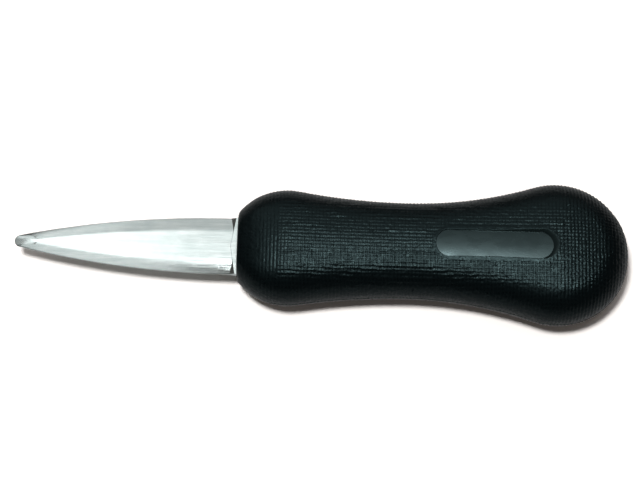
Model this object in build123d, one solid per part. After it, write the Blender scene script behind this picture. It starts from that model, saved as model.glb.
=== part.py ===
"""Oyster knife: a stainless blade whose tang is locked inside a one-piece moulded handle.

Lengths are millimetres. The knife lies flat with its label side up: X runs along it from the blade's tip at
-X to the butt at +X, Y runs across it and Z points up. The origin is under the middle of the knife, at the
level it lies on.
"""

from build123d import *
import math
import os

# Handle: its stations run from the flat front face, where the blade comes out, back to the butt
handle_length = 121.7
front_width = 21.8
front_depth = 15.0
shoulder_station = 15.5
shoulder_width = 37.0
shoulder_depth = 24.0
waist_station = 53.0
waist_draw_in_width = 6.4
waist_draw_in_depth = 2.4
butt_swell_width = 8.2
butt_swell_depth = 0.8
butt_crown_radius = 90.0
front_edge_break = 0.8
edge_radius_share = 0.95
nose_steps = 4
front_flank_steps = 9
rear_flank_steps = 12
band_crowding_power = 1.5

# Label recess: a smooth stadium with a level floor in the broad upper face, deepest at its butt end
recess_station = 79.6
recess_length = 38.0
recess_width = 9.6
recess_depth = 1.9
recess_side_draft = 0.6
recess_butt_draft = 1.9

# Blade: its reach is the steel that shows, from the tip to the handle's front face
blade_reach = 69.6
blade_width = 18.15
stock_thickness = 2.5
ground_thickness = 2.4
edge_thickness = 0.7
parallel_run = 4.2
tip_radius = 1.9
grind_margin = 1.2
flat_width = 9.6
flat_tip_radius = 0.8
flat_tip_inset = 5.0

# Tang: the blade's full width seats a little way inside the handle, then the steel narrows
seat_depth = 6.0
tang_reach = 82.0
tang_width = 12.0
neck_radius = 2.5
tail_radius = 4.0
lock_hole_diameter = 5.5
lock_hole_shares = (0.3, 0.78)
moulding_gap = 0.05
overrun = 1.0

# Sizes that follow from the ones above
waist_width = shoulder_width - waist_draw_in_width
waist_depth = shoulder_depth - waist_draw_in_depth
butt_width = shoulder_width + butt_swell_width
butt_depth = shoulder_depth + butt_swell_depth
butt_station = handle_length - butt_width / 2
rest_height = max(shoulder_depth, butt_depth) / 2
front_face_x = (blade_reach - handle_length) / 2


def crown_to_waist(run, crown_half, crown_radius, waist_half):
    """Half size at a distance from a crown: the crown's arc, then a hollow arc that levels at the waist."""
    crown_centre = crown_half - crown_radius
    rise = waist_half - crown_centre
    hollow_radius = (run**2 + rise**2 - crown_radius**2) / (2 * (crown_radius - rise))
    join = run * crown_radius / (crown_radius + hollow_radius)

    def half_size(distance):
        if distance < join:
            return crown_centre + math.sqrt(crown_radius**2 - distance**2)
        return waist_half + hollow_radius - math.sqrt(hollow_radius**2 - (run - distance) ** 2)

    return half_size


def handle_outline(front_half, shoulder_half, waist_half, butt_half, butt_radius):
    """Half size at any station: an arc over the nose, hollow arcs to the waist, and an arc over the butt."""
    drop = shoulder_half - front_half
    nose_radius = (shoulder_station**2 + drop**2) / (2 * drop)
    front_flank = crown_to_waist(waist_station - shoulder_station, shoulder_half, nose_radius, waist_half)
    rear_flank = crown_to_waist(butt_station - waist_station, butt_half, butt_radius, waist_half)

    def half_size(station):
        if station < shoulder_station:
            return shoulder_half - nose_radius + math.sqrt(nose_radius**2 - (shoulder_station - station) ** 2)
        if station < waist_station:
            return front_flank(station - shoulder_station)
        return rear_flank(butt_station - station)

    return half_size


def section_points(station, half_width, half_depth):
    """Points on a section's upper +Y quarter: crown, mid-face, join of the two arcs, mid-edge and side.

    The section is an oval of tangent arcs. A flat arc makes the broad face and a tight one makes the edge.
    """
    edge_radius = edge_radius_share * half_depth
    edge_centre = half_width - edge_radius
    face_radius = (edge_centre**2 + half_depth**2 - edge_radius**2) / (2 * (half_depth - edge_radius))
    face_centre = half_depth - face_radius
    lean = math.atan2(edge_centre, -face_centre)

    def on_face(angle):
        return Vector(station, face_radius * math.sin(angle), face_centre + face_radius * math.cos(angle))

    def on_edge(angle):
        return Vector(station, edge_centre + edge_radius * math.sin(angle), edge_radius * math.cos(angle))

    side_angle = math.pi / 2
    mid_edge = on_edge((lean + side_angle) / 2)
    return on_face(0), on_face(lean / 2), on_face(lean), mid_edge, on_edge(side_angle)


def handle_section(station, half_width, half_depth):
    """Whole section of the handle, standing across its axis."""
    crown, _, join, _, side = section_points(station, half_width, half_depth)
    broad_face = ThreePointArc((station, -join.Y, join.Z), crown, join)
    edge = ThreePointArc(join, side, (station, join.Y, -join.Z))
    return make_face([broad_face, edge, broad_face.mirror(Plane.XY), edge.mirror(Plane.XZ)])


def butt_profile():
    """The +Y half of the section at the butt's widest place, closed along the knife's middle plane."""
    crown, mid_face, join, mid_edge, side = section_points(butt_station, butt_width / 2, butt_depth / 2)
    upper = [ThreePointArc(crown, mid_face, join), ThreePointArc(join, mid_edge, side)]
    lower = [arc.mirror(Plane.XY) for arc in upper]
    return make_face([*upper, *lower, Line(crown, (crown.X, crown.Y, -crown.Z))])


def stations_to_waist(crown, steps):
    """Stations from a crown to the waist, closest together at the crown, where the outline bends most."""
    run = waist_station - crown
    return [crown + run * (step / steps) ** band_crowding_power for step in range(steps + 1)]


def handle_body():
    """Solid handle: a lofted nose, banded flanks, and a butt made by a half turn of the widest section.

    The flanks bend gently, so straight bands between close sections stay within 0.05 mm of their curves.
    """
    half_width = handle_outline(
        front_width / 2, shoulder_width / 2, waist_width / 2, butt_width / 2, butt_width / 2
    )
    half_depth = handle_outline(
        front_depth / 2, shoulder_depth / 2, waist_depth / 2, butt_depth / 2, butt_crown_radius
    )

    def sections(stations):
        return [handle_section(station, half_width(station), half_depth(station)) for station in stations]

    nose = loft(sections([shoulder_station * step / nose_steps for step in range(nose_steps + 1)]))
    front_flank = stations_to_waist(shoulder_station, front_flank_steps)
    rear_flank = stations_to_waist(butt_station, rear_flank_steps)
    flanks = loft(sections([*front_flank, *reversed(rear_flank[:-1])]), ruled=True)
    butt = revolve(butt_profile(), Axis((butt_station, 0, 0), (0, 0, -1)), 180)
    body = nose + flanks + butt
    return chamfer(body.edges().group_by(Axis.X)[0], front_edge_break)


def stadium(centre, length, width):
    """Face with straight sides and round ends, lying along the knife."""
    return Pos(centre, 0) * SlotOverall(length, width)


def label_recess():
    """Cutter for the label recess: its long sides draft a little, its butt end leans back much more."""
    floor_level = butt_depth / 2 - recess_depth
    floor_length = recess_length - recess_side_draft - recess_butt_draft
    floor_centre = recess_station + (recess_side_draft - recess_butt_draft) / 2
    floor = stadium(floor_centre, floor_length, recess_width - 2 * recess_side_draft)
    mouth = stadium(recess_station, recess_length, recess_width)
    walls = loft([Pos(0, 0, floor_level) * floor, Pos(0, 0, butt_depth / 2) * mouth], ruled=True)
    above = Pos(0, 0, butt_depth / 2) * extrude(mouth, overrun)
    return walls + above


def tang_form(front, gap):
    """Steel from a station back to the tang's tail, with its lock holes, grown by a gap on every side."""
    half_width = blade_width / 2 + gap
    half_tang = tang_width / 2 + gap
    seat = seat_depth + gap
    tail = tang_reach + gap
    upper_side = [(front, half_width), (seat, half_width), (seat, half_tang), (tail, half_tang)]
    lower_side = [(x, -y) for x, y in reversed(upper_side)]
    plan = make_face(Polyline(*upper_side, *lower_side, close=True))
    necks = plan.vertices().group_by(Axis.X)[1].sort_by(lambda corner: abs(corner.Y))[:2]
    plan = fillet(necks, neck_radius - gap)
    plan = fillet(plan.vertices().group_by(Axis.X)[-1], tail_radius + gap)
    for share in lock_hole_shares:
        station = seat_depth + (tang_reach - seat_depth) * share
        plan -= Pos(station, 0) * Circle(lock_hole_diameter / 2 - gap)
    return extrude(plan, stock_thickness / 2 + gap, both=True)


def ogive(half_width, reach, nose_radius):
    """Pointed outline: straight sides from the grind's end, long tangent arcs, and a small round tip."""
    run = reach - nose_radius - parallel_run
    arc_radius = (run**2 + half_width**2 - nose_radius**2) / (2 * (half_width - nose_radius))
    centre = Vector(-parallel_run, half_width - arc_radius)
    tip_centre = Vector(nose_radius - reach, 0)
    start = Vector(-parallel_run, half_width)
    join = centre + (tip_centre - centre).normalized() * arc_radius
    middle = centre + ((start - centre) + (join - centre)).normalized() * arc_radius
    side = Line((-grind_margin, half_width), start)
    flank = ThreePointArc(start, middle, join)
    tip = ThreePointArc(join, (-reach, 0), (join.X, -join.Y))
    root = Line((-grind_margin, -half_width), (-grind_margin, half_width))
    return make_face([root, side, flank, tip, flank.mirror(Plane.XZ), side.mirror(Plane.XZ)])


def blade():
    """Exposed blade with a level flat and two bevels on each face, in one piece with the tang."""
    edge_outline = ogive(blade_width / 2, blade_reach, tip_radius)
    flat_outline = ogive(flat_width / 2, blade_reach - flat_tip_inset, flat_tip_radius)
    foot = Pos(0, 0, edge_thickness / 2) * edge_outline
    flat = Pos(0, 0, ground_thickness / 2) * flat_outline
    bevels = loft([foot, flat], ruled=True)
    core = extrude(edge_outline, edge_thickness / 2, both=True)
    return core + bevels + bevels.mirror(Plane.XY) + tang_form(-grind_margin, 0)


def handle():
    """Moulded handle with its label recess and the space for the tang, with a post through each lock hole."""
    return handle_body() - label_recess() - tang_form(-overrun, moulding_gap)


os.makedirs("parts", exist_ok=True)
place = Pos(front_face_x, 0, rest_height)
for name, solid in (("blade", blade()), ("handle", handle())):
    export_step(place * solid, f"parts/{name}.step")
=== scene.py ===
"""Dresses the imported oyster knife: a black ribbed moulding on a ground and brushed steel blade.

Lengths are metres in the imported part's frame: X runs along the knife from the blade's tip to the butt, Y
runs across it and Z points up through the label side. Each sub-assembly is a class that holds its sizes,
models its mesh and dresses it.
"""

import logging
import math
from collections.abc import Callable, Iterator
from contextlib import contextmanager
from dataclasses import dataclass
from enum import Enum

import bmesh
import bpy
import numpy as np
from mathutils import Matrix, Quaternion, Vector


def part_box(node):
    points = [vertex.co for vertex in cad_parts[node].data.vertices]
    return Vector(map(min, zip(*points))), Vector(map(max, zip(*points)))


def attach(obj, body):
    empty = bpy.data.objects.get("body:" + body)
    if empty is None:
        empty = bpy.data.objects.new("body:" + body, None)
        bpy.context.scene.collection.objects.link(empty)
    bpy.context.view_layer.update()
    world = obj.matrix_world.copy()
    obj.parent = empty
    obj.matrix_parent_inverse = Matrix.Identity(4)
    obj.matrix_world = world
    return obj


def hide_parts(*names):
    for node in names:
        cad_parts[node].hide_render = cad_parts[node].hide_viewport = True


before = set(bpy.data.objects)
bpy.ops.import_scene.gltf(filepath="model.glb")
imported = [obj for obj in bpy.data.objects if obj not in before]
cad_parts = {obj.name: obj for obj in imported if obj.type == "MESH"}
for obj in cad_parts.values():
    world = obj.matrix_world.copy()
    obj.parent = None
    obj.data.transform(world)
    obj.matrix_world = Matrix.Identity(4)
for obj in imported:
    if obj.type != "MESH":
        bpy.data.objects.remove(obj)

log = logging.getLogger("oyster_knife")

MM = 0.001
TINY = 1e-6
QUARTER_TURN = math.pi / 2

# Sockets of a Mix node go by number: each of its names stands for several, one for every kind of value
MIX_FACTOR, MIX_LOW_COLOUR, MIX_HIGH_COLOUR, MIXED_COLOUR = 0, 6, 7, 2

PlaceTest = Callable[[np.ndarray], np.ndarray]
EdgeTest = Callable[[bmesh.types.BMEdge], bool]
FaceTest = Callable[[bmesh.types.BMFace], bool]
HalfSize = Callable[[float], float]
Span = tuple[float, float]
Grains = tuple[float, float, float]
Colour = tuple[float, float, float, float]

# Between these values lies nearly all of a noise
MIDDLE_OF_NOISE: Span = (0.3, 0.7)


class Slot(Enum):
    """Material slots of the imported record."""

    STEEL = "blade_steel"
    PLASTIC = "handle_plastic"


class Element(Enum):
    """What an edit-mode selection is made of."""

    VERTICES = "VERT"
    FACES = "FACE"


class LampShape(Enum):
    """Outline of a lamp."""

    ROUND = "ELLIPSE"
    SQUARE = "RECTANGLE"


def set_active(piece: bpy.types.Object) -> None:
    """Deselects everything, then selects one piece and makes it the active one.

    Args:
        piece: the object to work on next.
    """
    bpy.ops.object.select_all(action="DESELECT")
    piece.select_set(True)
    bpy.context.view_layer.objects.active = piece


@contextmanager
def editing(piece: bpy.types.Object, element: Element = Element.VERTICES) -> Iterator[None]:
    """Opens a piece in edit mode for the length of a with block.

    Args:
        piece: the mesh object to edit.
        element: what selections are made of.

    Yields:
        Nothing. The piece is open until the block ends.
    """
    set_active(piece)
    bpy.ops.object.mode_set(mode="EDIT")
    bpy.ops.mesh.select_mode(type=element.value)
    try:
        yield
    finally:
        bpy.ops.object.mode_set(mode="OBJECT")


def pick_vertices(test: PlaceTest) -> int:
    """Selects the open mesh's vertices whose places pass a test, with the edges and faces between them.

    Args:
        test: takes the places as rows of x, y and z, and returns one truth value a row.

    Returns:
        How many vertices are selected.
    """
    mesh = bmesh.from_edit_mesh(bpy.context.edit_object.data)
    visible = [vertex for vertex in mesh.verts if not vertex.hide]
    places = np.array([vertex.co for vertex in visible]).reshape(-1, 3)
    bpy.ops.mesh.select_all(action="DESELECT")
    chosen = np.flatnonzero(test(places))
    for index in chosen:
        visible[index].select_set(True)
    mesh.select_flush(True)
    bmesh.update_edit_mesh(bpy.context.edit_object.data)
    return len(chosen)


def pick_edges(test: EdgeTest) -> int:
    """Selects the open mesh's edges that pass a test.

    Args:
        test: says whether an edge is wanted.

    Returns:
        How many edges are selected.
    """
    mesh = bmesh.from_edit_mesh(bpy.context.edit_object.data)
    bpy.ops.mesh.select_all(action="DESELECT")
    wanted = [edge for edge in mesh.edges if test(edge)]
    for edge in wanted:
        edge.select_set(True)
    bmesh.update_edit_mesh(bpy.context.edit_object.data)
    return len(wanted)


def pick_faces(test: FaceTest) -> int:
    """Selects the open mesh's faces that pass a test.

    Args:
        test: says whether a face is wanted.

    Returns:
        How many faces are selected.
    """
    mesh = bmesh.from_edit_mesh(bpy.context.edit_object.data)
    bpy.ops.mesh.select_all(action="DESELECT")
    wanted = [face for face in mesh.faces if test(face)]
    for face in wanted:
        face.select_set(True)
    bmesh.update_edit_mesh(bpy.context.edit_object.data)
    return len(wanted)


def apply_modifier(piece: bpy.types.Object, kind: str, **settings: object) -> None:
    """Adds a modifier with its settings and applies it.

    Args:
        piece: the mesh object it works on.
        kind: the modifier's type.
        settings: the modifier's properties by name.
    """
    set_active(piece)
    modifier = piece.modifiers.new(kind.lower(), kind)
    for name, value in settings.items():
        setattr(modifier, name, value)
    bpy.ops.object.modifier_apply(modifier=modifier.name)


def copy_of(piece: bpy.types.Object, name: str) -> bpy.types.Object:
    """Copies an object with a mesh of its own, free of any parent.

    Args:
        piece: the object to copy.
        name: the copy's name.

    Returns:
        The copy, linked to the scene.
    """
    twin = piece.copy()
    twin.data = piece.data.copy()
    twin.name = twin.data.name = name
    twin.parent = None
    for key in list(twin.keys()):
        del twin[key]
    bpy.context.scene.collection.objects.link(twin)
    return twin


def discard(*helpers: bpy.types.Object) -> None:
    """Deletes helper objects once they have done their work."""
    for helper in helpers:
        bpy.data.objects.remove(helper)


def merge_all() -> None:
    """Merges the open mesh's vertices that lie on one another, and leaves all of it selected."""
    bpy.ops.mesh.select_all(action="SELECT")
    bpy.ops.mesh.remove_doubles(threshold=TINY)


def face_outwards() -> None:
    """Turns the faces of the open, closed-up mesh outwards, and leaves all of it selected."""
    bpy.ops.mesh.select_all(action="SELECT")
    bpy.ops.mesh.normals_make_consistent(inside=False)


def combine(piece: bpy.types.Object, tool: bpy.types.Object, operation: str, **settings: object) -> None:
    """Cuts a tool out of a piece or joins it on, then deletes the tool.

    Args:
        piece: the object that is kept.
        tool: the object that shapes it.
        operation: what is done with the two solids.
        settings: more of the Boolean modifier's properties by name.
    """
    apply_modifier(piece, "BOOLEAN", object=tool, operation=operation, solver="EXACT", **settings)
    discard(tool)


def dress(piece: bpy.types.Object, finish: bpy.types.Material) -> None:
    """Gives a piece one finish, in place of any that it has."""
    piece.data.materials.clear()
    piece.data.materials.append(finish)


def add_primitive(name: str, operator: Callable[..., set], **settings: object) -> bpy.types.Object:
    """Adds a primitive while nothing else is selected.

    Args:
        name: the new object's name.
        operator: the operator that adds it.
        settings: the operator's properties by name.

    Returns:
        The new object.
    """
    bpy.ops.object.select_all(action="DESELECT")
    operator(**settings)
    primitive = bpy.context.object
    primitive.name = primitive.data.name = name
    return primitive


def new_point(name: str, place: Vector) -> bpy.types.Object:
    """Adds a mesh of one vertex to draw from, its object at the origin.

    Args:
        name: the new object's name.
        place: where the vertex lies.

    Returns:
        The new object.
    """
    point = add_primitive(name, bpy.ops.mesh.primitive_plane_add, size=MM)
    with editing(point):
        bpy.ops.mesh.select_all(action="SELECT")
        bpy.ops.mesh.merge(type="CENTER")
        bpy.ops.transform.translate(value=place)
    return point


def draw_line(step: Vector) -> None:
    """Extrudes the selection of the open mesh by a step, and leaves the new end selected."""
    bpy.ops.mesh.extrude_region_move(TRANSFORM_OT_translate={"value": step})


def draw_arc(centre: Vector, axis: Vector, angle: float, steps: int) -> None:
    """Spins the selection of the open mesh about an axis, and leaves the new end selected.

    Args:
        centre: a point on the axis.
        axis: the axis to turn about.
        angle: how far to turn, in radians, anticlockwise about the axis.
        steps: how many equal steps the turn takes.
    """
    bpy.ops.mesh.spin(steps=steps, angle=-angle, center=centre, axis=axis)


def crown_to_waist(run: float, crown_half: float, crown_radius: float, waist_half: float) -> HalfSize:
    """Half size against distance from a crown: its arc, then a hollow arc that levels at the waist.

    Args:
        run: the distance from the crown to the waist.
        crown_half: half size at the crown.
        crown_radius: radius of the crown's arc.
        waist_half: half size at the waist.

    Returns:
        The function from distance to half size.
    """
    crown_centre = crown_half - crown_radius
    rise = waist_half - crown_centre
    hollow_radius = (run**2 + rise**2 - crown_radius**2) / (2 * (crown_radius - rise))
    join = run * crown_radius / (crown_radius + hollow_radius)

    def half_size(distance: float) -> float:
        """Gives the half size at a distance from the crown."""
        if distance < join:
            return crown_centre + math.sqrt(crown_radius**2 - distance**2)
        return waist_half + hollow_radius - math.sqrt(hollow_radius**2 - (run - distance) ** 2)

    return half_size


def ramp(values: np.ndarray, low: float, high: float) -> np.ndarray:
    """Rises smoothly from 0 at low to 1 at high."""
    share = np.clip((values - low) / (high - low), 0, 1)
    return share * share * (3 - 2 * share)


@dataclass(frozen=True)
class Oval:
    """Section of the handle: a flat arc for each broad face, with a tight arc tangent to it at each edge."""

    half_width: float
    half_depth: float
    lean: float = math.radians(10)

    @property
    def edge_radius(self) -> float:
        """Radius of the tight arc."""
        rise = math.tan(self.lean / 2)
        return (self.half_depth - self.half_width * rise) / (
            math.cos(self.lean) + (math.sin(self.lean) - 1) * rise
        )

    @property
    def edge_centre(self) -> float:
        """Distance of the tight arc's centre from the middle plane."""
        return self.half_width - self.edge_radius

    @property
    def join(self) -> float:
        """Distance from the middle plane of the point where the two arcs meet."""
        return self.edge_centre + self.edge_radius * math.sin(self.lean)

    @property
    def face_radius(self) -> float:
        """Radius of the flat arc."""
        return self.join / math.sin(self.lean)

    @property
    def face_centre(self) -> float:
        """Height of the flat arc's centre, which lies below the axis."""
        return self.half_depth - self.face_radius


@dataclass(frozen=True)
class Outline:
    """Half size of the handle along its length, seen from one side."""

    front: float
    shoulder: float
    waist: float
    butt: float
    butt_radius: float
    shoulder_station: float
    waist_station: float
    butt_station: float
    front_round: float

    def at(self, station: float) -> float:
        """Gives the half size.

        Args:
            station: distance back from the handle's front face.

        Returns:
            The half size there.
        """
        drop = self.shoulder - self.front
        nose_radius = (self.shoulder_station**2 + drop**2) / (2 * drop)
        if station < self.shoulder_station:
            ahead = self.shoulder_station - station
            half = self.shoulder - nose_radius + math.sqrt(nose_radius**2 - ahead**2)
            if station < self.front_round:
                left = (self.front_round - station) / self.front_round
                half -= self.front_round * (1 - math.sqrt(1 - left**2))
            return half
        if station < self.waist_station:
            flank = crown_to_waist(
                self.waist_station - self.shoulder_station, self.shoulder, nose_radius, self.waist
            )
            return flank(station - self.shoulder_station)
        flank = crown_to_waist(
            self.butt_station - self.waist_station, self.butt, self.butt_radius, self.waist
        )
        return flank(self.butt_station - station)


class Board:
    """A material's node tree, with short ways to add nodes and join them."""

    def __init__(self, name: str) -> None:
        """Starts an empty material.

        Args:
            name: the material's name.
        """
        self.material = bpy.data.materials.new(name)
        self.material.use_nodes = True
        self.tree = self.material.node_tree
        self.tree.nodes.clear()
        self.output = self.add("ShaderNodeOutputMaterial")

    def add(self, kind: str, inputs: dict | None = None, **settings: object) -> bpy.types.Node:
        """Adds a node.

        Args:
            kind: the node's type.
            inputs: values or output sockets by input name or number.
            settings: the node's own properties.

        Returns:
            The new node.
        """
        node = self.tree.nodes.new(kind)
        for key, value in settings.items():
            setattr(node, key, value)
        for key, value in (inputs or {}).items():
            socket = node.inputs[key]
            if isinstance(value, bpy.types.NodeSocket):
                self.tree.links.new(value, socket)
            else:
                socket.default_value = value
        return node

    def finish(self, shader: bpy.types.Node) -> bpy.types.Material:
        """Joins a shader to the output and returns the material."""
        self.tree.links.new(shader.outputs[0], self.output.inputs["Surface"])
        return self.material

    def math(self, operation: str, *values: object) -> bpy.types.NodeSocket:
        """Adds a Math node and returns its output."""
        return self.add("ShaderNodeMath", dict(enumerate(values)), operation=operation).outputs[0]

    def remap(self, value: bpy.types.NodeSocket, span: Span, target: Span) -> bpy.types.NodeSocket:
        """Maps a value smoothly from one span on to another.

        Args:
            value: the socket to read.
            span: the values that the target's two ends stand for.
            target: the values given at the span's two ends, and past them.

        Returns:
            The mapped value.
        """
        node = self.add(
            "ShaderNodeMapRange",
            {
                "Value": value,
                "From Min": span[0],
                "From Max": span[1],
                "To Min": target[0],
                "To Max": target[1],
            },
            interpolation_type="SMOOTHSTEP",
        )
        return node.outputs[0]

    def blend(self, factor: object, low: object, high: object) -> bpy.types.NodeSocket:
        """Mixes two colours by a factor and returns the output."""
        inputs = {MIX_FACTOR: factor, MIX_LOW_COLOUR: low, MIX_HIGH_COLOUR: high}
        return self.add("ShaderNodeMix", inputs, data_type="RGBA").outputs[MIXED_COLOUR]

    def places(self, scale: Grains = (1, 1, 1)) -> bpy.types.NodeSocket:
        """Gives Object coordinates, each axis times its scale."""
        coordinates = self.add("ShaderNodeTexCoord").outputs["Object"]
        return self.add("ShaderNodeMapping", {"Vector": coordinates, "Scale": scale}).outputs[0]

    def noise(self, grains: Grains, detail: float = 3, roughness: float = 0.55) -> bpy.types.NodeSocket:
        """Adds cloudy noise.

        Args:
            grains: how many grains it has a metre, along each axis.
            detail: how many finer layers it has.
            roughness: how strong the finer layers are.

        Returns:
            Its value.
        """
        node = self.add(
            "ShaderNodeTexNoise",
            {"Vector": self.places(grains), "Scale": 1.0, "Detail": detail, "Roughness": roughness},
        )
        return node.outputs[0]

    def bump(
        self, height: bpy.types.NodeSocket, strength: float, depth: float, **under: bpy.types.NodeSocket
    ) -> bpy.types.NodeSocket:
        """Adds relief to a finish.

        Args:
            height: the socket that gives its shape.
            strength: how much of it shows.
            depth: its full height.
            under: the relief that it lies on, as the input Normal, where there is one.

        Returns:
            The bent normal.
        """
        inputs = {"Strength": strength, "Distance": depth, "Height": height, **under}
        return self.add("ShaderNodeBump", inputs).outputs[0]


@dataclass(frozen=True)
class RibbedPlastic:
    """Semi-gloss black plastic with a painted highlight that makes the rib crests a little lighter than the
    pits between them, whose colour is painted shade.
    """

    pitch: float
    # Painted light: the pits' colour is painted shade and the crests' colour is a painted highlight.
    shaded_pit_colour: Colour = (0.0006, 0.0014, 0.0018, 1)
    highlit_crest_colour: Colour = (0.0018, 0.0034, 0.0038, 1)
    gloss_tint: Colour = (0.62, 0.97, 1.0, 1)
    refraction: float = 1.5
    roughness: float = 0.30
    smoother: float = 0.04
    rougher: float = 0.06
    gloss: float = 0.15
    crest_share: float = 1 / 3
    # One cloudy noise varies the roughness and, as painted highlight, how much lighter the crests are.
    scuff_and_highlight_grains: Grains = (420, 420, 420)
    highlight_patch_span: Span = (0.35, 0.7)
    least_crest_highlight: float = 0.35
    fine_grains: Grains = (5200, 5200, 5200)
    fine_depth: float = 0.05 * MM
    fine_strength: float = 0.35
    uneven_grains: Grains = (800, 800, 800)
    uneven_depth: float = 0.15 * MM
    uneven_strength: float = 1.0

    def material(self) -> bpy.types.Material:
        """Builds the finish.

        Returns:
            The material.
        """
        board = Board("ribbed_black_plastic")
        apart = board.add("ShaderNodeSeparateXYZ", {0: board.places()})
        from_cross_crest = board.math("PINGPONG", apart.outputs[0], self.pitch / 2)
        from_long_crest = board.math("PINGPONG", apart.outputs[1], self.pitch / 2)
        from_crest = board.math("MINIMUM", from_cross_crest, from_long_crest)
        crest = board.remap(from_crest, (0, self.pitch * self.crest_share), (1, 0))
        scuff_and_highlight_noise = board.noise(self.scuff_and_highlight_grains, detail=4)
        highlight_patchiness = board.remap(scuff_and_highlight_noise, self.highlight_patch_span, (self.least_crest_highlight, 1))
        # Painted highlight on the crests, patchy with the cloudy noise; the pits keep the painted shade.
        crest_highlight_mask = board.math("MULTIPLY", crest, highlight_patchiness)
        grain = board.noise(self.fine_grains, detail=2)
        fine = board.bump(grain, self.fine_strength, self.fine_depth)
        unevenness = board.noise(self.uneven_grains, detail=2)
        relief = board.bump(unevenness, self.uneven_strength, self.uneven_depth, Normal=fine)
        polish = (self.roughness + self.rougher, self.roughness - self.smoother)
        shader = board.add(
            "ShaderNodeBsdfPrincipled",
            {
                # Painted highlight on the crests over painted shade in the pits.
                "Base Color": board.blend(crest_highlight_mask, self.shaded_pit_colour, self.highlit_crest_colour),
                "Roughness": board.remap(scuff_and_highlight_noise, MIDDLE_OF_NOISE, polish),
                "IOR": self.refraction,
                "Specular IOR Level": self.gloss,
                "Specular Tint": self.gloss_tint,
                "Normal": relief,
            },
        )
        return board.finish(shader)


@dataclass(frozen=True)
class PolishedPlastic:
    """The same black plastic where the mould was polished, on the label recess, with base colours lighter
    than the ribbed plastic's as a painted sheen.
    """

    # Painted sheen: both base colours are lighter than the ribbed plastic's; the cloudy haze varies them at
    # random.
    colour: Colour = (0.0042, 0.0080, 0.0084, 1)
    sheen_haze_colour: Colour = (0.0072, 0.0124, 0.0124, 1)
    gloss_tint: Colour = (0.68, 0.97, 1.0, 1)
    refraction: float = 1.5
    roughness: float = 0.27
    smoother: float = 0.04
    rougher: float = 0.05
    gloss: float = 0.26
    haze_grains: Grains = (160, 320, 160)
    ripple_grains: Grains = (260, 520, 260)
    ripple_depth: float = 0.1 * MM
    ripple_strength: float = 0.08

    def material(self) -> bpy.types.Material:
        """Builds the finish.

        Returns:
            The material.
        """
        board = Board("polished_black_plastic")
        haze = board.noise(self.haze_grains)
        ripple = board.noise(self.ripple_grains, detail=2)
        relief = board.bump(ripple, self.ripple_strength, self.ripple_depth)
        polish = (self.roughness - self.smoother, self.roughness + self.rougher)
        shader = board.add(
            "ShaderNodeBsdfPrincipled",
            {
                # Painted sheen: a base lighter than the ribbed plastic's, varied by the haze.
                "Base Color": board.blend(haze, self.colour, self.sheen_haze_colour),
                "Roughness": board.remap(haze, MIDDLE_OF_NOISE, polish),
                "IOR": self.refraction,
                "Specular IOR Level": self.gloss,
                "Specular Tint": self.gloss_tint,
                "Normal": relief,
            },
        )
        return board.finish(shader)


@dataclass(frozen=True)
class BrushedSteel:
    """Stainless steel with fine brush lines and faint streaks along the blade, and cloudy spots."""

    bright: Colour = (0.62, 0.68, 0.67, 1)
    dull: Colour = (0.38, 0.46, 0.455, 1)
    roughness: float = 0.15
    smoother: float = 0.05
    rougher: float = 0.08
    line_grains: Grains = (90, 5200, 5200)
    line_depth: float = 0.03 * MM
    line_strength: float = 0.35
    streak_grains: Grains = (55, 900, 900)
    streak_span: Span = (0.25, 0.75)
    least_streak: float = 0.55
    cloud_grains: Grains = (190, 260, 190)
    cloud_span: Span = (0.3, 0.75)
    least_cloud: float = 0.7

    def material(self) -> bpy.types.Material:
        """Builds the finish.

        Returns:
            The material.
        """
        board = Board("brushed_steel")
        lines = board.noise(self.line_grains, detail=4, roughness=0.65)
        streaks = board.noise(self.streak_grains)
        clouds = board.noise(self.cloud_grains, detail=4)
        streaked = board.remap(streaks, self.streak_span, (self.least_streak, 1))
        clouded = board.remap(clouds, self.cloud_span, (self.least_cloud, 1))
        tone = board.math("MULTIPLY", streaked, clouded)
        polish = (self.roughness - self.smoother, self.roughness + self.rougher)
        shader = board.add(
            "ShaderNodeBsdfPrincipled",
            {
                "Base Color": board.blend(tone, self.dull, self.bright),
                "Metallic": 1.0,
                "Roughness": board.remap(lines, MIDDLE_OF_NOISE, polish),
                "Normal": board.bump(lines, self.line_strength, self.line_depth),
            },
        )
        return board.finish(shader)


@dataclass(frozen=True)
class WhitePaper:
    """Matt white sheet that the knife lies on.

    It is pure white to the camera where it is lit, a plain pale grey to the steel and to other light, and
    clear from below.
    """

    seen_colour: Colour = (1.36, 1.31, 1.27, 1)
    far_colour: Colour = (9.0, 9.0, 9.0, 1)
    mirrored_colour: Colour = (0.6, 0.6, 0.6, 1)
    lit_colour: Colour = (0.7, 0.7, 0.7, 1)
    near_distance: float = 0.16
    far_distance: float = 1.1

    def material(self) -> bpy.types.Material:
        """Builds the finish.

        Returns:
            The material.
        """
        board = Board("white_paper")
        rays = board.add("ShaderNodeLightPath").outputs
        length = board.add("ShaderNodeVectorMath", {0: board.places()}, operation="LENGTH")
        far = board.remap(length.outputs["Value"], (self.near_distance, self.far_distance), (0, 1))
        seen = board.blend(far, self.seen_colour, self.far_colour)
        indirect = board.blend(rays["Is Glossy Ray"], self.lit_colour, self.mirrored_colour)
        colour = board.blend(rays["Is Camera Ray"], indirect, seen)
        sheet = board.add("ShaderNodeBsdfDiffuse", {"Color": colour})
        from_below = board.add("ShaderNodeNewGeometry").outputs["Backfacing"]
        hidden = board.math("MULTIPLY", from_below, rays["Is Camera Ray"])
        clear = board.add("ShaderNodeBsdfTransparent")
        shade = board.add("ShaderNodeMixShader", {0: hidden, 1: sheet.outputs[0], 2: clear.outputs[0]})
        return board.finish(shade)


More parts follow.
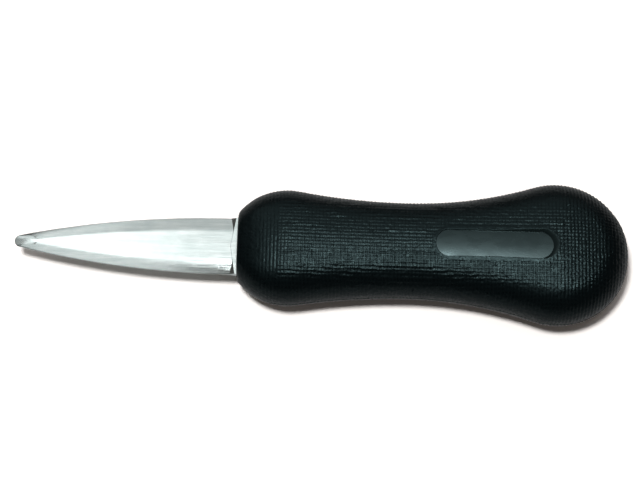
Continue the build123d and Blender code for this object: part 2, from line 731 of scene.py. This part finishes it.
@dataclass
class HandleMoulding:
    """One-shot plastic handle with scored grip ribs, a sunk label recess, and the space for the steel."""

    name: str = "ribbed_handle"
    front_width: float = 21.8 * MM
    front_depth: float = 15.0 * MM
    front_round: float = 0.6 * MM
    shoulder_station: float = 15.5 * MM
    shoulder_width: float = 37.0 * MM
    shoulder_depth: float = 24.0 * MM
    waist_station: float = 53.0 * MM
    waist_draw_in_width: float = 6.4 * MM
    waist_draw_in_depth: float = 2.4 * MM
    butt_depth: float = 24.8 * MM
    butt_crown_radius: float = 90.0 * MM
    arc_step: float = math.radians(5)
    round_steps: int = 4
    nose_steps: int = 9
    front_flank_steps: int = 12
    rear_flank_steps: int = 15
    butt_steps: int = 15
    crowding_power: float = 1.5
    rib_pitch: float = 1.1 * MM
    rib_height: float = 0.18 * MM
    lines_a_pitch: int = 3
    long_rib_reach: float = 14.0 * MM
    long_rib_fade: float = 3.0 * MM
    long_rib_start: float = 12.6 * MM
    cross_rib_start: float = 4.0 * MM
    cross_rib_full: float = 12.0 * MM
    parting_line_half: float = 0.16 * MM
    recess_station: float = 79.6 * MM
    recess_length: float = 38.0 * MM
    recess_width: float = 9.6 * MM
    recess_depth: float = 1.9 * MM
    recess_side_draft: float = 0.6 * MM
    recess_butt_draft: float = 1.9 * MM
    recess_rim: float = 0.45 * MM
    recess_crown_radius: float = 45.0 * MM
    recess_end_steps: int = 50
    recess_crown_steps: int = 720
    tang_gap: float = 0.05 * MM
    smooth_levels: int = 2
    pit_levels: int = 20
    crest_share: float = 1 / 3
    soft_angle: float = math.radians(38)
    least_level: float = 0.9

    def __post_init__(self) -> None:
        """Takes the handle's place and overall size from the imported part."""
        low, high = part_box("handle")
        self.front_x = low.x
        self.length = high.x - low.x
        self.butt_width = high.y - low.y
        self.axis_height = low.z + self.butt_depth / 2
        self.butt_station = self.length - self.butt_width / 2
        stations = {
            "shoulder_station": self.shoulder_station,
            "waist_station": self.waist_station,
            "butt_station": self.butt_station,
            "front_round": self.front_round,
        }
        self.plan = Outline(
            self.front_width / 2,
            self.shoulder_width / 2,
            (self.shoulder_width - self.waist_draw_in_width) / 2,
            self.butt_width / 2,
            self.butt_width / 2,
            **stations,
        )
        self.profile = Outline(
            self.front_depth / 2,
            self.shoulder_depth / 2,
            (self.shoulder_depth - self.waist_draw_in_depth) / 2,
            self.butt_depth / 2,
            self.butt_crown_radius,
            **stations,
        )

    def oval(self, station: float) -> Oval:
        """Gives the section at a distance back from the front face."""
        return Oval(self.plan.at(station), self.profile.at(station))

    def stations(self) -> list[float]:
        """Lists the sections' stations, closest together where the outline bends most.

        Returns:
            Distances back from the front face. Those between the front rounding and the butt's turn are
            moved on to lines of the rib grid.
        """
        turns = [QUARTER_TURN * step / self.round_steps for step in range(self.round_steps)]
        rounding = [self.front_round * (1 - math.cos(turn)) for turn in turns]
        nose_run = self.shoulder_station - self.front_round
        nose = [self.front_round + nose_run * step / self.nose_steps for step in range(self.nose_steps)]
        front = self.crowded(self.shoulder_station, self.front_flank_steps)
        rear = self.crowded(self.butt_station, self.rear_flank_steps)
        spacing = self.rib_pitch / self.lines_a_pitch
        free = [*nose[1:], *front, *reversed(rear[1:-1])]
        lines = [round((self.front_x + station) / spacing) for station in free]
        on_lines = [line * spacing - self.front_x for line in lines]
        return [*rounding, self.front_round, *on_lines, self.butt_station]

    def crowded(self, crown: float, steps: int) -> list[float]:
        """Lists stations from a crown to the waist, closest together at the crown."""
        run = self.waist_station - crown
        return [crown + run * (step / steps) ** self.crowding_power for step in range(steps + 1)]

    def first_ring(self) -> bpy.types.Object:
        """Draws the front section's upper +Y quarter: the flat arc from the crown, then the tight arc.

        Returns:
            The new object, a chain of edges.
        """
        oval = self.oval(0)
        along = Vector((1, 0, 0))
        hull = new_point("hull", Vector((self.front_x, 0, oval.half_depth)))
        with editing(hull):
            bpy.ops.mesh.select_all(action="SELECT")
            face_centre = Vector((self.front_x, 0, oval.face_centre))
            draw_arc(face_centre, along, -oval.lean, round(oval.lean / self.arc_step))
            edge_centre = Vector((self.front_x, oval.edge_centre, 0))
            edge_turn = QUARTER_TURN - oval.lean
            draw_arc(edge_centre, along, -edge_turn, round(edge_turn / self.arc_step))
            merge_all()
        return hull

    def grow_ring(self, station: float, old: Oval, new: Oval, step: float) -> None:
        """Extrudes the last ring back by a step, and gives it the new section.

        Args:
            station: the new ring's station.
            old: the last ring's section.
            new: the new ring's section.
            step: distance between them.
        """
        x = self.front_x + station
        draw_line(Vector((step, 0, 0)))

        def reshape(on_arc: PlaceTest, scale: float, centre: Vector, shift: Vector) -> None:
            """Sizes one arc of the new ring about its centre, then moves it.

            Args:
                on_arc: says which places are on the arc.
                scale: the new radius over the old one.
                centre: the old arc's centre.
                shift: how far the centre moves.
            """
            pick_vertices(lambda at: (np.abs(at[:, 0] - x) < TINY) & on_arc(at))
            bpy.ops.transform.resize(value=(1, scale, scale), center_override=centre)
            bpy.ops.transform.translate(value=shift)

        reshape(
            lambda at: at[:, 1] < old.join - TINY,
            new.face_radius / old.face_radius,
            Vector((x, 0, old.face_centre)),
            Vector((0, 0, new.face_centre - old.face_centre)),
        )
        reshape(
            lambda at: at[:, 1] >= old.join - TINY,
            new.edge_radius / old.edge_radius,
            Vector((x, old.edge_centre, 0)),
            Vector((0, new.edge_centre - old.edge_centre, 0)),
        )
        pick_vertices(lambda at: np.abs(at[:, 0] - x) < TINY)

    def hull(self) -> bpy.types.Object:
        """Models the upper +Y quarter of the handle: rings extruded to the butt, then a quarter turn.

        Returns:
            The quarter, about the handle's own axis.
        """
        hull = self.first_ring()
        stations = self.stations()
        ovals = [self.oval(station) for station in stations]
        with editing(hull):
            bpy.ops.mesh.select_all(action="SELECT")
            for index in range(1, len(stations)):
                step = stations[index] - stations[index - 1]
                self.grow_ring(stations[index], ovals[index - 1], ovals[index], step)
            centre = Vector((self.front_x + self.butt_station, 0, 0))
            draw_arc(centre, Vector((0, 0, 1)), -QUARTER_TURN, self.butt_steps)
            merge_all()
            face_outwards()
        return hull

    def score(self, hull: bpy.types.Object) -> None:
        """Cuts the lines that the ribs and pits are formed on: along the broad face, then across it all.

        Args:
            hull: the quarter of the handle.
        """
        spacing = self.rib_pitch / self.lines_a_pitch

        def cut(place: Vector, normal: Vector) -> None:
            """Cuts the part of the open mesh that shows along a plane."""
            bpy.ops.mesh.select_all(action="SELECT")
            bpy.ops.mesh.bisect(plane_co=place, plane_no=normal, threshold=TINY)

        with editing(hull, Element.FACES):
            for height in (self.parting_line_half, 2 * self.parting_line_half):
                cut(Vector((0, 0, height)), Vector((0, 0, 1)))
            ahead = self.front_x + self.long_rib_start
            pick_vertices(lambda at: at[:, 0] < ahead)
            bpy.ops.mesh.hide(unselected=False)
            for line in range(1, math.floor(self.long_rib_reach / spacing) + 1):
                cut(Vector((0, line * spacing, 0)), Vector((0, 1, 0)))
            bpy.ops.mesh.reveal(select=False)
            first = math.ceil((self.front_x + self.cross_rib_start) / spacing)
            last = math.floor((self.front_x + self.length) / spacing)
            for line in range(first, last + 1):
                cut(Vector((line * spacing, 0, 0)), Vector((1, 0, 0)))

    def pit_depths(self, at: np.ndarray) -> np.ndarray:
        """Works out how far each point sinks between the ribs, as a share of their height.

        Args:
            at: places about the handle's own axis, as rows of x, y and z.

        Returns:
            One share a place: 0 on a crest or where the surface is plain, 1 in a full pit.
        """
        station = at[:, 0] - self.front_x
        near = self.rib_pitch / self.lines_a_pitch * self.crest_share

        def on_crest(across: np.ndarray) -> np.ndarray:
            """Says which distances across the ribs lie on a crest line."""
            return np.abs(across - np.round(across / self.rib_pitch) * self.rib_pitch) < near

        cross = on_crest(at[:, 0]).astype(float)
        fade = 1 - ramp(np.abs(at[:, 1]), self.long_rib_reach - self.long_rib_fade, self.long_rib_reach)
        long = on_crest(at[:, 1]) * fade * (station > self.long_rib_start)
        ribbed = ramp(station, self.cross_rib_start, self.cross_rib_full)
        straight = (self.recess_length - self.recess_width) / 2
        past_end = np.maximum(np.abs(station - self.recess_station) - straight, 0)
        from_recess = np.hypot(past_end, at[:, 1]) - self.recess_width / 2
        rim = (from_recess < self.recess_rim) & (at[:, 2] > 0)
        parting = np.abs(at[:, 2]) < self.parting_line_half / 2
        return np.where(rim | parting, 0, ribbed * (1 - np.maximum(cross, long)))

    def sink_pits(self, skin: bpy.types.Object) -> None:
        """Sinks the surface between the ribs, so that their crests stay at the handle's own size.

        Args:
            skin: the whole scored handle.
        """
        places = np.empty(len(skin.data.vertices) * 3)
        skin.data.vertices.foreach_get("co", places)
        depths = np.round(self.pit_depths(places.reshape(-1, 3)) * self.pit_levels).astype(int)
        group = skin.vertex_groups.new(name="pits")
        for level in range(1, self.pit_levels + 1):
            group.add(np.flatnonzero(depths == level).tolist(), level / self.pit_levels, "REPLACE")
        apply_modifier(
            skin,
            "DISPLACE",
            direction="NORMAL",
            mid_level=0.0,
            strength=-self.rib_height,
            vertex_group=group.name,
        )
        skin.vertex_groups.clear()

    def recess_cutter(self) -> bpy.types.Object:
        """Models the block that forms the label recess: a stadium that opens out above a crowned floor.

        Returns:
            The block, about the handle's own axis.
        """
        floor_radius = self.recess_width / 2 - self.recess_side_draft
        floor_level = self.butt_depth / 2 - self.recess_depth
        crown_drop = floor_radius**2 / self.recess_crown_radius
        half_run = (self.recess_length - self.recess_width) / 2
        middle = self.front_x + self.recess_station
        slip = self.recess_butt_draft - self.recess_side_draft
        growth = self.recess_width / 2 / floor_radius
        floor_ends = ((-1, -half_run), (1, half_run - slip))
        block = add_primitive(
            "label_cutter",
            bpy.ops.mesh.primitive_circle_add,
            vertices=self.recess_end_steps,
            radius=floor_radius,
            fill_type="NGON",
        )

        def pick_end(side: int, level: float) -> None:
            """Selects the vertices of one round end, at a height and above."""
            pick_vertices(lambda at: (at[:, 0] * side > 0) & (at[:, 2] > level - TINY))

        with editing(block):
            for side, end in floor_ends:
                pick_end(side, 0)
                bpy.ops.transform.translate(value=(end, 0, 0))
            bpy.ops.mesh.select_all(action="SELECT")
            draw_line(Vector((0, 0, self.recess_depth)))
            for side, end in floor_ends:
                pick_end(side, self.recess_depth)
                bpy.ops.transform.resize(value=(growth, growth, 1), center_override=(end, 0, 0))
                bpy.ops.transform.translate(value=(side * half_run - end, 0, 0))
            pick_vertices(lambda at: at[:, 2] > self.recess_depth - TINY)
            draw_line(Vector((0, 0, self.recess_depth)))
            pick_vertices(lambda at: at[:, 2] < TINY)
            bpy.ops.transform.translate(value=(0, 0, -crown_drop))
            bpy.ops.mesh.select_all(action="SELECT")
            bpy.ops.transform.translate(value=(middle, 0, floor_level))
            face_outwards()
        crown = add_primitive(
            "floor_crown",
            bpy.ops.mesh.primitive_cylinder_add,
            vertices=self.recess_crown_steps,
            radius=self.recess_crown_radius,
            depth=2 * self.recess_length,
            location=(middle, 0, floor_level - self.recess_crown_radius),
            rotation=(0, QUARTER_TURN, 0),
        )
        combine(block, crown, "DIFFERENCE")
        return block

    def tang_cutter(self) -> bpy.types.Object:
        """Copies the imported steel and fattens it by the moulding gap, about the handle's own axis.

        Returns:
            The cutter for the slot, the tang's space and the posts through its lock holes.
        """
        cutter = copy_of(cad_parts["blade"], "tang_cutter")
        with editing(cutter):
            merge_all()
            bpy.ops.transform.shrink_fatten(value=self.tang_gap, use_even_offset=True)
            bpy.ops.transform.translate(value=(0, 0, -self.axis_height))
        return cutter

    def build(self) -> bpy.types.Object:
        """Models and dresses the handle.

        Returns:
            The finished piece.
        """
        hull = self.hull()
        smooth = copy_of(hull, "smooth_handle")
        mirror = {"use_axis": (False, True, True), "merge_threshold": TINY}
        apply_modifier(smooth, "MIRROR", **mirror)
        apply_modifier(smooth, "SUBSURF", levels=self.smooth_levels, render_levels=self.smooth_levels)
        self.score(hull)
        apply_modifier(hull, "MIRROR", **mirror)
        apply_modifier(hull, "SHRINKWRAP", target=smooth, wrap_method="NEAREST_SURFACEPOINT")
        with editing(hull):
            pick_edges(lambda edge: edge.is_boundary)
            bpy.ops.mesh.edge_face_add()
            face_outwards()
        discard(smooth)
        self.sink_pits(hull)
        ribbed, polished = RibbedPlastic(self.rib_pitch).material(), PolishedPlastic().material()
        dress(hull, ribbed)
        for cutter, finish in ((self.recess_cutter(), polished), (self.tang_cutter(), ribbed)):
            dress(cutter, finish)
            combine(hull, cutter, "DIFFERENCE", material_mode="TRANSFER")
        with editing(hull):
            bpy.ops.mesh.select_all(action="SELECT")
            bpy.ops.mesh.dissolve_degenerate(threshold=2 * TINY)
            bpy.ops.transform.translate(value=(0, 0, self.axis_height))
        set_active(hull)
        bpy.ops.object.shade_smooth_by_angle(angle=self.soft_angle)
        polished_index = hull.data.materials.find(polished.name)
        with editing(hull, Element.FACES):
            pick_faces(
                lambda face: face.material_index == polished_index and face.normal.z > self.least_level
            )
            bpy.ops.mesh.faces_shade_flat()
        hull.name = hull.data.name = self.name
        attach(hull, "root")
        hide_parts("handle")
        return hull


@dataclass
class SteelBlade:
    """Double-bevelled blade in one piece with the tang that the handle is moulded round."""

    name: str = "ground_blade"
    reach: float = 69.6 * MM
    width: float = 18.15 * MM
    stock_thickness: float = 2.5 * MM
    ground_thickness: float = 2.4 * MM
    edge_thickness: float = 0.7 * MM
    parallel_run: float = 4.2 * MM
    tip_radius: float = 1.9 * MM
    grind_margin: float = 1.2 * MM
    plunge_middle: float = 2.2 * MM
    plunge_edge: float = 0.7 * MM
    plunge_slope: float = math.radians(30)
    root_overlap: float = 0.9 * MM
    flat_width: float = 9.6 * MM
    flat_tip_radius: float = 0.8 * MM
    flat_tip_inset: float = 5.0 * MM
    flank_steps: int = 36
    tip_steps: int = 12
    flat_softening: float = 0.8 * MM
    rim_softening: float = 0.14 * MM
    softening_steps: int = 4
    crease_angle: float = math.radians(4)
    soft_angle: float = math.radians(24)
    seat_depth: float = 6.0 * MM
    tang_reach: float = 82.0 * MM
    tang_width: float = 12.0 * MM
    neck_radius: float = 2.5 * MM
    tail_radius: float = 4.0 * MM
    corner_steps: int = 8
    lock_hole_diameter: float = 5.5 * MM
    lock_hole_steps: int = 32
    lock_hole_shares: tuple[float, float] = (0.3, 0.78)

    def __post_init__(self) -> None:
        """Takes the place of the handle's front face, and of the blade's middle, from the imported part."""
        low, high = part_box("blade")
        self.front_x = low.x + self.reach
        self.axis_height = (low.z + high.z) / 2

    def trace_ogive(
        self, half_width: float, reach: float, nose_radius: float, level: float
    ) -> bpy.types.Object:
        """Draws half of a pointed outline: a straight run, a long arc tangent to it, and a round tip.

        Args:
            half_width: half the outline's width at the root.
            reach: distance of its tip from the handle's front face.
            nose_radius: radius of the round tip.
            level: height above the blade's middle plane.

        Returns:
            The outline, a chain of edges.
        """
        up = Vector((0, 0, 1))
        run = reach - nose_radius - self.parallel_run
        flank_radius = (run**2 + half_width**2 - nose_radius**2) / (2 * (half_width - nose_radius))
        flank_turn = math.atan2(run, flank_radius - half_width)
        root = self.root_overlap - self.grind_margin
        outline = new_point("ogive", Vector((self.front_x + root, half_width, level)))
        with editing(outline):
            bpy.ops.mesh.select_all(action="SELECT")
            draw_line(Vector((-self.parallel_run - root, 0, 0)))
            flank_centre = Vector((self.front_x - self.parallel_run, half_width - flank_radius, level))
            draw_arc(flank_centre, up, flank_turn, self.flank_steps)
            tip_centre = Vector((self.front_x - reach + nose_radius, 0, level))
            draw_arc(tip_centre, up, QUARTER_TURN - flank_turn, self.tip_steps)
            merge_all()
        return outline

    def ground_part(self) -> bpy.types.Object:
        """Models the exposed blade: a level flat and two long bevels on each face, and a blunt rim.

        Returns:
            The closed blade, its root inside the stock.
        """
        edge_level = self.edge_thickness / 2
        flat_level = self.ground_thickness / 2
        ground = self.trace_ogive(self.width / 2, self.reach, self.tip_radius, edge_level)
        flat = self.trace_ogive(
            self.flat_width / 2, self.reach - self.flat_tip_inset, self.flat_tip_radius, flat_level
        )
        set_active(ground)
        flat.select_set(True)
        bpy.ops.object.join()
        with editing(ground):
            bpy.ops.mesh.select_all(action="SELECT")
            bpy.ops.mesh.bridge_edge_loops()
            pick_vertices(lambda at: at[:, 2] > flat_level - TINY)
            draw_line(Vector())
            bpy.ops.transform.resize(value=(1, 0, 1), center_override=(0, 0, 0))
            pick_vertices(lambda at: at[:, 2] < edge_level + TINY)
            draw_line(Vector())
            bpy.ops.transform.resize(value=(1, 1, 0), center_override=(0, 0, 0))
            merge_all()
        apply_modifier(ground, "MIRROR", use_axis=(False, True, True), merge_threshold=TINY)
        root_x = self.front_x + self.root_overlap - self.grind_margin
        with editing(ground):
            pick_vertices(lambda at: at[:, 0] > root_x - TINY)
            bpy.ops.mesh.edge_face_add()
            face_outwards()
            tip_x = self.front_x - self.reach
            flat_nose_x = tip_x + self.flat_tip_inset + self.flat_tip_radius
            self.pick_creases(flat_level, flat_nose_x, root_x)
            bpy.ops.mesh.bevel(offset=self.flat_softening, segments=self.softening_steps)
            self.pick_creases(edge_level, tip_x - TINY, root_x)
            bpy.ops.mesh.bevel(offset=self.rim_softening, segments=self.softening_steps)
        return ground

    def pick_creases(self, level: float, nose_x: float, root_x: float) -> None:
        """Selects the creases that run along the blade at a height above and below its middle plane.

        Args:
            level: the height.
            nose_x: where the creases that are wanted begin.
            root_x: where the root ends, whose own edges stay as they are.
        """

        def is_crease(edge: bmesh.types.BMEdge) -> bool:
            """Says whether an edge is one of the creases.

            Args:
                edge: an edge of the open mesh.

            Returns:
                Whether it lies at the height, between the nose and the root, and the surface bends there.
            """
            ends = [vertex.co for vertex in edge.verts]
            at_level = all(abs(abs(end.z) - level) < TINY for end in ends)
            at_root = all(end.x > root_x - TINY for end in ends)
            behind_nose = all(end.x > nose_x for end in ends)
            if at_root or not (at_level and behind_nose and edge.is_manifold):
                return False
            return edge.calc_face_angle() > self.crease_angle

        pick_edges(is_crease)

    def stock_and_tang(self) -> bpy.types.Object:
        """Models the full-thickness steel: the seat in the handle's mouth, the neck and the drilled tang.

        Returns:
            The closed stock with its two lock holes.
        """
        half_width, half_tang = self.width / 2, self.tang_width / 2
        front = self.front_x - self.plunge_middle
        edge = self.front_x - self.plunge_edge
        seat = self.front_x + self.seat_depth
        tail = self.front_x + self.tang_reach
        up = Vector((0, 0, 1))
        stock = new_point("stock", Vector((front, 0, -self.stock_thickness / 2)))
        bottom = -self.stock_thickness / 2
        with editing(stock):
            bpy.ops.mesh.select_all(action="SELECT")
            draw_line(Vector((edge - front, half_width, 0)))
            draw_line(Vector((seat - edge, 0, 0)))
            draw_line(Vector((0, half_tang + self.neck_radius - half_width, 0)))
            neck_centre = Vector((seat + self.neck_radius, half_tang + self.neck_radius, bottom))
            draw_arc(neck_centre, up, QUARTER_TURN, self.corner_steps)
            draw_line(Vector((tail - self.tail_radius - seat - self.neck_radius, 0, 0)))
            tail_centre = Vector((tail - self.tail_radius, half_tang - self.tail_radius, bottom))
            draw_arc(tail_centre, up, -QUARTER_TURN, self.corner_steps)
            draw_line(Vector((0, self.tail_radius - half_tang, 0)))
            merge_all()
        apply_modifier(stock, "MIRROR", use_axis=(False, True, False), merge_threshold=TINY)
        with editing(stock):
            bpy.ops.mesh.select_all(action="SELECT")
            bpy.ops.mesh.edge_face_add()
            for _ in range(2):
                draw_line(Vector((0, 0, self.stock_thickness / 2)))
            pick_vertices(lambda at: (at[:, 0] < edge + TINY) & (np.abs(at[:, 2]) < TINY))
            run_out = self.stock_thickness / 2 / math.tan(self.plunge_slope)
            bpy.ops.transform.translate(value=(-run_out, 0, 0))
            face_outwards()
        for share in self.lock_hole_shares:
            station = self.seat_depth + (self.tang_reach - self.seat_depth) * share
            drill = add_primitive(
                "drill",
                bpy.ops.mesh.primitive_cylinder_add,
                vertices=self.lock_hole_steps,
                radius=self.lock_hole_diameter / 2,
                depth=2 * self.stock_thickness,
                location=(self.front_x + station, 0, 0),
            )
            combine(stock, drill, "DIFFERENCE")
        return stock

    def build(self) -> bpy.types.Object:
        """Models and dresses the blade.

        Returns:
            The finished piece.
        """
        blade, stock = self.ground_part(), self.stock_and_tang()
        combine(blade, stock, "UNION")
        with editing(blade):
            bpy.ops.mesh.select_all(action="SELECT")
            bpy.ops.transform.translate(value=(0, 0, self.axis_height))
        dress(blade, BrushedSteel().material())
        set_active(blade)
        bpy.ops.object.shade_smooth_by_angle(angle=self.soft_angle)
        blade.name = blade.data.name = self.name
        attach(blade, "root")
        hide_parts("blade")
        return blade


@dataclass(frozen=True)
class Lamp:
    """Lamp that fills a window of directions, as the knife sees them.

    The window's angles are in degrees from overhead, towards +X and towards +Y. A radiance of 1 is that of
    a white surface in plain light.
    """

    name: str
    towards_x: Span
    towards_y: Span
    radiance: float
    shape: LampShape = LampShape.SQUARE
    seen_in_gloss: bool = True
    lights_surfaces: bool = True

    def hang(self, height: float) -> None:
        """Hangs the lamp over the knife, facing it.

        Args:
            height: distance of the lamp from the knife.
        """
        spans = (self.towards_x, self.towards_y)
        middle = [math.radians(sum(span) / 2) for span in spans]
        half = [math.radians((span[1] - span[0]) / 2) for span in spans]
        away = Vector((math.tan(middle[0]), math.tan(middle[1]), 1)).normalized()
        data = bpy.data.lights.new(self.name, "AREA")
        data.shape = self.shape.value
        data.size, data.size_y = (2 * height * math.tan(angle) for angle in half)
        filled = math.pi / 4 if self.shape is LampShape.ROUND else 1
        data.energy = self.radiance * data.size * data.size_y * filled * math.pi
        lamp = bpy.data.objects.new(self.name, data)
        bpy.context.scene.collection.objects.link(lamp)
        lamp.location = away * height
        side = Vector((1, 0, 0))
        side = (side - away * side.dot(away)).normalized()
        lamp.rotation_euler = Matrix((side, away.cross(side), away)).transposed().to_euler()
        lamp.visible_glossy = self.seen_in_gloss
        lamp.visible_diffuse = self.lights_surfaces


LAMPS = (
    Lamp("overhead_core", (-11, -3), (-8, 0), 150, LampShape.ROUND, seen_in_gloss=False),
    Lamp("overhead_panel", (-17, 22), (-6, 30), 1.03),
    Lamp("glint_card", (1, 9), (-8, 8), 45, lights_surfaces=False),
    Lamp("front_left_card", (-32, -9.5), (-36, 26), 1.0, lights_surfaces=False),
    Lamp("rear_card", (-38, 35), (30, 66), 0.68, lights_surfaces=False),
    Lamp("left_card", (-50, -17), (-6, 55), 0.4, lights_surfaces=False),
)


@dataclass
class Stage:
    """White table, the lamps over it, and the camera at the photograph's angle."""

    scale: float = 3.2 / MM
    elevation: float = math.radians(73)
    roll: float = math.radians(1.52)
    lens: float = 90.0
    sensor: float = 36.0
    frame_width: int = 640
    aim: tuple[float, float, float] = (-0.49 * MM, 2.9 * MM, 12.4 * MM)
    floor_size: float = 3.0
    lamp_height: float = 0.8
    surround_colour: Colour = (0.09, 0.081, 0.076, 1)
    camera_colour: Colour = (1, 1, 1, 1)

    def floor(self) -> None:
        """Lays the white table under the knife."""
        table = add_primitive("white_table", bpy.ops.mesh.primitive_plane_add, size=self.floor_size)
        dress(table, WhitePaper().material())

    def camera(self) -> None:
        """Places the camera so that the knife fills the photograph's frame at the photograph's scale."""
        distance = self.frame_width / self.scale * self.lens / self.sensor
        back = Vector((0, -math.cos(self.elevation), math.sin(self.elevation)))
        data = bpy.data.cameras.new("camera")
        data.lens, data.sensor_width = self.lens, self.sensor
        camera = bpy.data.objects.new("camera", data)
        bpy.context.scene.collection.objects.link(camera)
        camera.location = Vector(self.aim) + back * distance
        facing = (-back).to_track_quat("-Z", "Y")
        camera.rotation_mode = "QUATERNION"
        camera.rotation_quaternion = facing @ Quaternion((0, 0, 1), self.roll)
        bpy.context.scene.camera = camera

    def light(self) -> None:
        """Hangs the lamps and sets a faint surround, which the camera sees as white.

        A small bright core throws the shadow and a broad panel lies round it, both overhead. The cards
        show in gloss and steel alone.
        """
        for lamp in LAMPS:
            lamp.hang(self.lamp_height)
        world = bpy.data.worlds.new("surround")
        world.use_nodes = True
        tree = world.node_tree
        background = tree.nodes["Background"]
        rays = tree.nodes.new("ShaderNodeLightPath")
        colour = tree.nodes.new("ShaderNodeMix")
        colour.data_type = "RGBA"
        colour.inputs[MIX_LOW_COLOUR].default_value = self.surround_colour
        colour.inputs[MIX_HIGH_COLOUR].default_value = self.camera_colour
        tree.links.new(rays.outputs["Is Camera Ray"], colour.inputs[MIX_FACTOR])
        tree.links.new(colour.outputs[MIXED_COLOUR], background.inputs["Color"])
        bpy.context.scene.world = world


def main() -> None:
    """Builds the stage, then each sub-assembly in turn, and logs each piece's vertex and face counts."""
    logging.basicConfig(level=logging.INFO, format="%(name)s: %(message)s")
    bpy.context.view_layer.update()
    scene = bpy.context.scene
    scene.view_settings.view_transform = "Standard"
    stage = Stage()
    stage.floor()
    stage.camera()
    stage.light()
    for part in (HandleMoulding(), SteelBlade()):
        piece = part.build()
        mesh = piece.data
        log.info("%s: %d vertices, %d faces", piece.name, len(mesh.vertices), len(mesh.polygons))


if __name__ == "__main__":
    main()
